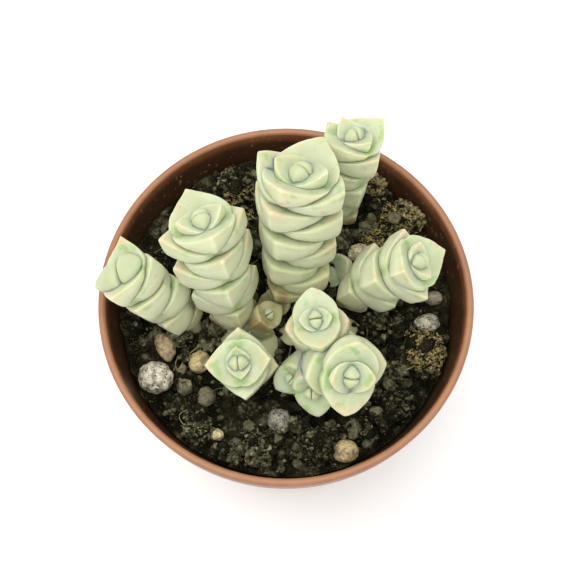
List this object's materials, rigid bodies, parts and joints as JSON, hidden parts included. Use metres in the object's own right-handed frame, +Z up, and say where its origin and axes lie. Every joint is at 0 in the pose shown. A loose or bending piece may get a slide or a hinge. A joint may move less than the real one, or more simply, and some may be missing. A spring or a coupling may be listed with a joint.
{
  "type": "potted variegated jade necklace",
  "caption": "Small variegated necklace succulent with leaning columns of stacked fleshy leaf pairs, rooted in gritty soil in a tapered brown plastic nursery pot.",
  "frame": {"origin": "centre of the pot's foot, on the surface that the pot stands on", "axes": "+Z up out of the pot, +X to the right and +Y to the back as the plant is seen from its front"},
  "size_m": [0.055, 0.055, 0.0688],
  "materials": {
    "pot_plastic": "moulded polypropylene, satin, lightly scuffed",
    "leaf": "living leaf tissue, pale cream and green variegation, waxy and slightly translucent",
    "soil": "damp dark peat and bark compost with grit",
    "pumice": "rough, porous, pale",
    "grit": "rough, tan to grey"
  },
  "bodies": {
    "root": {"pot": "pot_plastic", "stem_far_left": "leaf", "stem_left_big": "leaf", "stem_centre": "leaf", "stem_back_right": "leaf", "stem_right": "leaf", "stem_front_left": "leaf", "stem_front_cluster": "leaf", "soil": "soil", "pumice_left": "pumice", "pumice_front": "pumice", "pumice_right": "pumice", "pumice_back": "pumice", "grit_left": "grit", "grit_inner_left": "grit", "grit_dark": "grit", "grit_yellow": "grit", "grit_front": "grit", "grit_front_right": "grit", "grit_right": "grit"}
  },
  "joints": []
}
